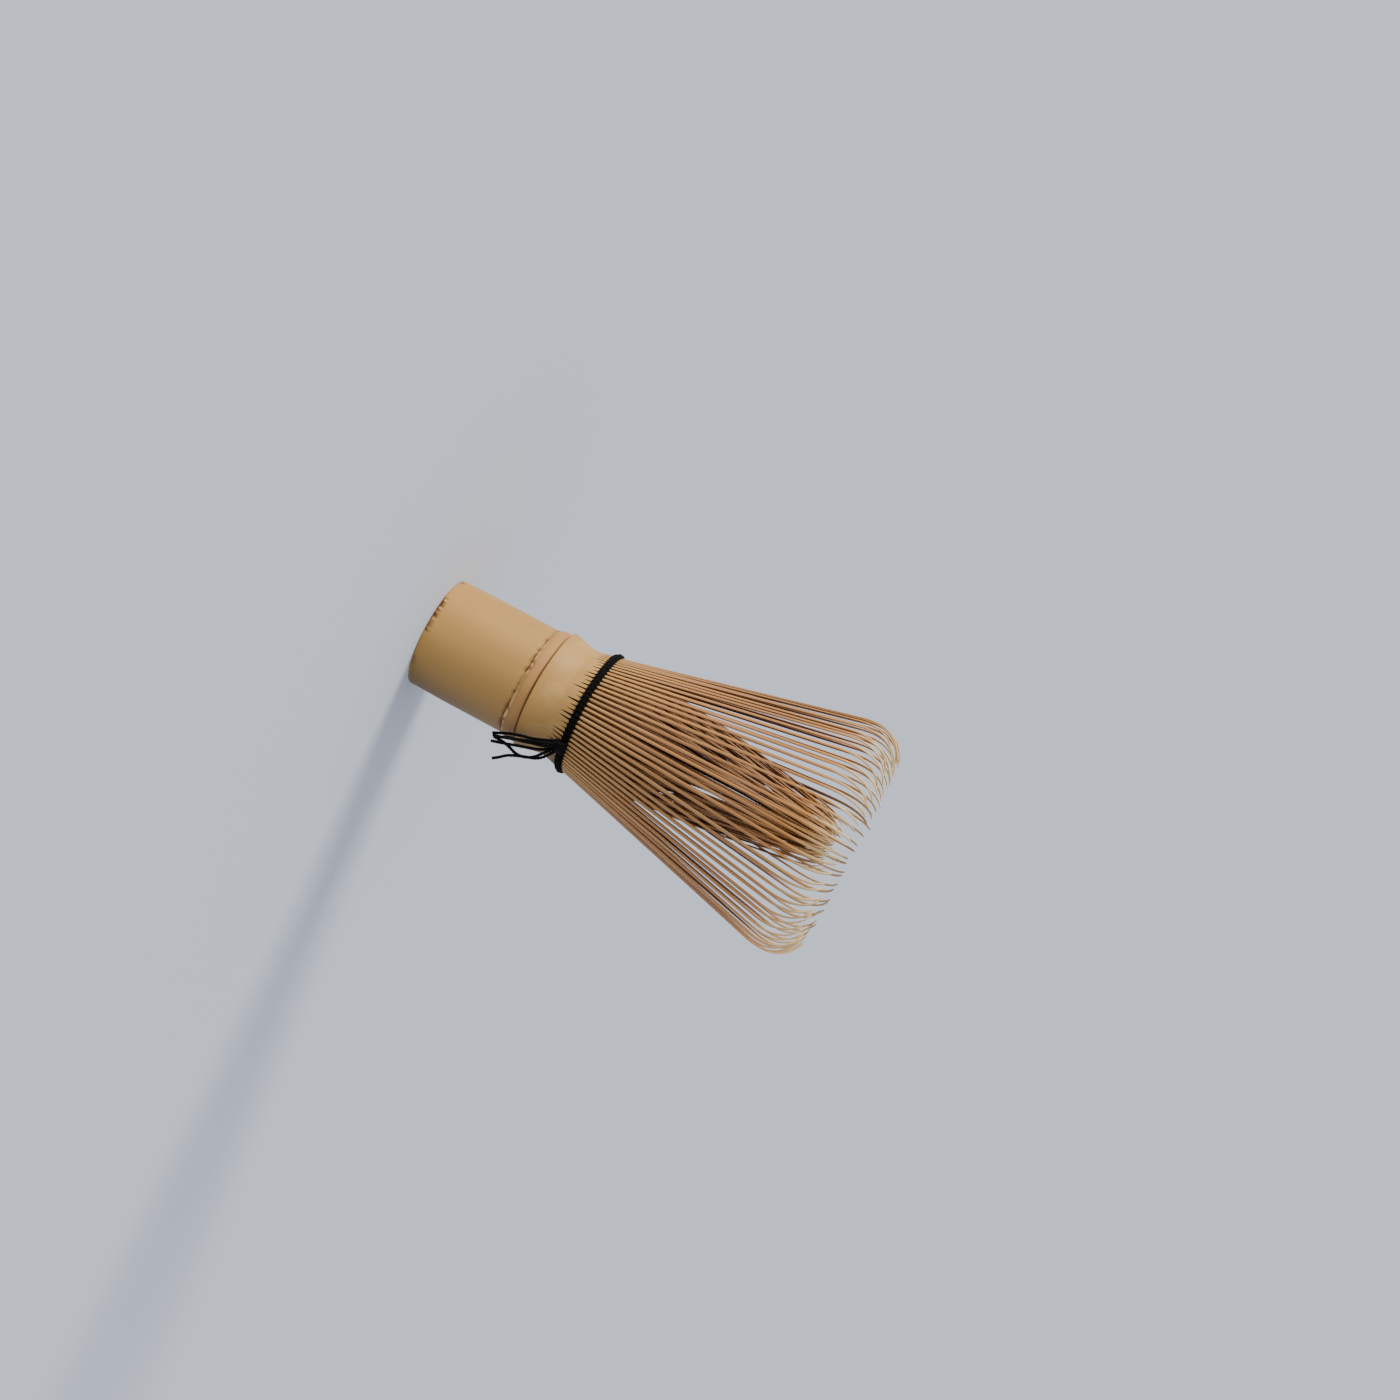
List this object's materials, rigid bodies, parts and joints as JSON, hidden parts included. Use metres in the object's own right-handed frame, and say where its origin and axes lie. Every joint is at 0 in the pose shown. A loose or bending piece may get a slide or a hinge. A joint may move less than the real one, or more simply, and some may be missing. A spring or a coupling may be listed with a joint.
{
  "type": "bamboo tea whisk",
  "caption": "Hollow bamboo handle whose far end is split into fine tines: an outer ring that flares and curls inward, an inner bundle, and a black thread that binds them and is tied in a knot.",
  "frame": {"origin": "centre of the flat sawn end of the handle, on which the whisk stands", "axes": "+Z along the whisk from the handle's end to the tips of the tines; +X and +Y square to it, with the knot between +X and -Y"},
  "size_m": [0.0578, 0.0578, 0.108],
  "materials": {
    "bamboo_culm": "smooth dry bamboo skin, satin",
    "bamboo_tines": "split and shaved bamboo, satin",
    "thread": "black twisted cotton, matt"
  },
  "bodies": {
    "whisk_body": {"handle": "bamboo_culm", "binding_thread_1": "thread", "binding_thread_2": "thread", "binding_thread_3": "thread", "thread_knot": "thread", "thread_tail_1": "thread", "thread_tail_2": "thread", "thread_tail_3": "thread", "thread_tail_4": "thread", "thread_tail_5": "thread", "thread_tail_6": "thread"},
    "outer_set_01": {"outer_tines_01": "bamboo_tines"},
    "outer_set_02": {"outer_tines_02": "bamboo_tines"},
    "outer_set_03": {"outer_tines_03": "bamboo_tines"},
    "outer_set_04": {"outer_tines_04": "bamboo_tines"},
    "outer_set_05": {"outer_tines_05": "bamboo_tines"},
    "outer_set_06": {"outer_tines_06": "bamboo_tines"},
    "outer_set_07": {"outer_tines_07": "bamboo_tines"},
    "outer_set_08": {"outer_tines_08": "bamboo_tines"},
    "outer_set_09": {"outer_tines_09": "bamboo_tines"},
    "outer_set_10": {"outer_tines_10": "bamboo_tines"},
    "outer_set_11": {"outer_tines_11": "bamboo_tines"},
    "outer_set_12": {"outer_tines_12": "bamboo_tines"},
    "outer_set_13": {"outer_tines_13": "bamboo_tines"},
    "outer_set_14": {"outer_tines_14": "bamboo_tines"},
    "outer_set_15": {"outer_tines_15": "bamboo_tines"},
    "outer_set_16": {"outer_tines_16": "bamboo_tines"},
    "inner_set_1": {"inner_tines_1": "bamboo_tines"},
    "inner_set_2": {"inner_tines_2": "bamboo_tines"},
    "inner_set_3": {"inner_tines_3": "bamboo_tines"},
    "inner_set_4": {"inner_tines_4": "bamboo_tines"},
    "inner_set_5": {"inner_tines_5": "bamboo_tines"},
    "inner_set_6": {"inner_tines_6": "bamboo_tines"},
    "inner_set_7": {"inner_tines_7": "bamboo_tines"},
    "inner_set_8": {"inner_tines_8": "bamboo_tines"}
  },
  "joints": [
    {"name": "outer_bend_01", "type": "hinge", "parent": "whisk_body", "child": "outer_set_01", "pos_m": [0.01431, 0.00285, 0.04212], "axis": [-0.1951, 0.9808, 0], "range_deg": [-3, 10], "stiffness_Nm_per_rad": 0.02},
    {"name": "outer_bend_02", "type": "hinge", "parent": "whisk_body", "child": "outer_set_02", "pos_m": [0.01213, 0.0081, 0.04212], "axis": [-0.5556, 0.8315, 0], "range_deg": [-3, 10], "stiffness_Nm_per_rad": 0.02},
    {"name": "outer_bend_03", "type": "hinge", "parent": "whisk_body", "child": "outer_set_03", "pos_m": [0.0081, 0.01213, 0.04212], "axis": [-0.8315, 0.5556, 0], "range_deg": [-3, 10], "stiffness_Nm_per_rad": 0.02},
    {"name": "outer_bend_04", "type": "hinge", "parent": "whisk_body", "child": "outer_set_04", "pos_m": [0.00285, 0.01431, 0.04212], "axis": [-0.9808, 0.1951, 0], "range_deg": [-3, 10], "stiffness_Nm_per_rad": 0.02},
    {"name": "outer_bend_05", "type": "hinge", "parent": "whisk_body", "child": "outer_set_05", "pos_m": [-0.00285, 0.01431, 0.04212], "axis": [-0.9808, -0.1951, 0], "range_deg": [-3, 10], "stiffness_Nm_per_rad": 0.02},
    {"name": "outer_bend_06", "type": "hinge", "parent": "whisk_body", "child": "outer_set_06", "pos_m": [-0.0081, 0.01213, 0.04212], "axis": [-0.8315, -0.5556, 0], "range_deg": [-3, 10], "stiffness_Nm_per_rad": 0.02},
    {"name": "outer_bend_07", "type": "hinge", "parent": "whisk_body", "child": "outer_set_07", "pos_m": [-0.01213, 0.0081, 0.04212], "axis": [-0.5556, -0.8315, 0], "range_deg": [-3, 10], "stiffness_Nm_per_rad": 0.02},
    {"name": "outer_bend_08", "type": "hinge", "parent": "whisk_body", "child": "outer_set_08", "pos_m": [-0.01431, 0.00285, 0.04212], "axis": [-0.1951, -0.9808, 0], "range_deg": [-3, 10], "stiffness_Nm_per_rad": 0.02},
    {"name": "outer_bend_09", "type": "hinge", "parent": "whisk_body", "child": "outer_set_09", "pos_m": [-0.01431, -0.00285, 0.04212], "axis": [0.1951, -0.9808, 0], "range_deg": [-3, 10], "stiffness_Nm_per_rad": 0.02},
    {"name": "outer_bend_10", "type": "hinge", "parent": "whisk_body", "child": "outer_set_10", "pos_m": [-0.01213, -0.0081, 0.04212], "axis": [0.5556, -0.8315, 0], "range_deg": [-3, 10], "stiffness_Nm_per_rad": 0.02},
    {"name": "outer_bend_11", "type": "hinge", "parent": "whisk_body", "child": "outer_set_11", "pos_m": [-0.0081, -0.01213, 0.04212], "axis": [0.8315, -0.5556, 0], "range_deg": [-3, 10], "stiffness_Nm_per_rad": 0.02},
    {"name": "outer_bend_12", "type": "hinge", "parent": "whisk_body", "child": "outer_set_12", "pos_m": [-0.00285, -0.01431, 0.04212], "axis": [0.9808, -0.1951, 0], "range_deg": [-3, 10], "stiffness_Nm_per_rad": 0.02},
    {"name": "outer_bend_13", "type": "hinge", "parent": "whisk_body", "child": "outer_set_13", "pos_m": [0.00285, -0.01431, 0.04212], "axis": [0.9808, 0.1951, 0], "range_deg": [-3, 10], "stiffness_Nm_per_rad": 0.02},
    {"name": "outer_bend_14", "type": "hinge", "parent": "whisk_body", "child": "outer_set_14", "pos_m": [0.0081, -0.01213, 0.04212], "axis": [0.8315, 0.5556, 0], "range_deg": [-3, 10], "stiffness_Nm_per_rad": 0.02},
    {"name": "outer_bend_15", "type": "hinge", "parent": "whisk_body", "child": "outer_set_15", "pos_m": [0.01213, -0.0081, 0.04212], "axis": [0.5556, 0.8315, 0], "range_deg": [-3, 10], "stiffness_Nm_per_rad": 0.02},
    {"name": "outer_bend_16", "type": "hinge", "parent": "whisk_body", "child": "outer_set_16", "pos_m": [0.01431, -0.00285, 0.04212], "axis": [0.1951, 0.9808, 0], "range_deg": [-3, 10], "stiffness_Nm_per_rad": 0.02},
    {"name": "inner_bend_1", "type": "hinge", "parent": "whisk_body", "child": "inner_set_1", "pos_m": [0.01267, 0.00584, 0.04212], "axis": [-0.4187, 0.9081, 0], "range_deg": [0, 4], "stiffness_Nm_per_rad": 0.02},
    {"name": "inner_bend_2", "type": "hinge", "parent": "whisk_body", "child": "inner_set_2", "pos_m": [0.00483, 0.01309, 0.04212], "axis": [-0.9382, 0.3461, 0], "range_deg": [0, 4], "stiffness_Nm_per_rad": 0.02},
    {"name": "inner_bend_3", "type": "hinge", "parent": "whisk_body", "child": "inner_set_3", "pos_m": [-0.00584, 0.01267, 0.04212], "axis": [-0.9081, -0.4187, 0], "range_deg": [0, 4], "stiffness_Nm_per_rad": 0.02},
    {"name": "inner_bend_4", "type": "hinge", "parent": "whisk_body", "child": "inner_set_4", "pos_m": [-0.01309, 0.00483, 0.04212], "axis": [-0.3461, -0.9382, 0], "range_deg": [0, 4], "stiffness_Nm_per_rad": 0.02},
    {"name": "inner_bend_5", "type": "hinge", "parent": "whisk_body", "child": "inner_set_5", "pos_m": [-0.01267, -0.00584, 0.04212], "axis": [0.4187, -0.9081, 0], "range_deg": [0, 4], "stiffness_Nm_per_rad": 0.02},
    {"name": "inner_bend_6", "type": "hinge", "parent": "whisk_body", "child": "inner_set_6", "pos_m": [-0.00483, -0.01309, 0.04212], "axis": [0.9382, -0.3461, 0], "range_deg": [0, 4], "stiffness_Nm_per_rad": 0.02},
    {"name": "inner_bend_7", "type": "hinge", "parent": "whisk_body", "child": "inner_set_7", "pos_m": [0.00584, -0.01267, 0.04212], "axis": [0.9081, 0.4187, 0], "range_deg": [0, 4], "stiffness_Nm_per_rad": 0.02},
    {"name": "inner_bend_8", "type": "hinge", "parent": "whisk_body", "child": "inner_set_8", "pos_m": [0.01309, -0.00483, 0.04212], "axis": [0.3461, 0.9382, 0], "range_deg": [0, 4], "stiffness_Nm_per_rad": 0.02}
  ]
}
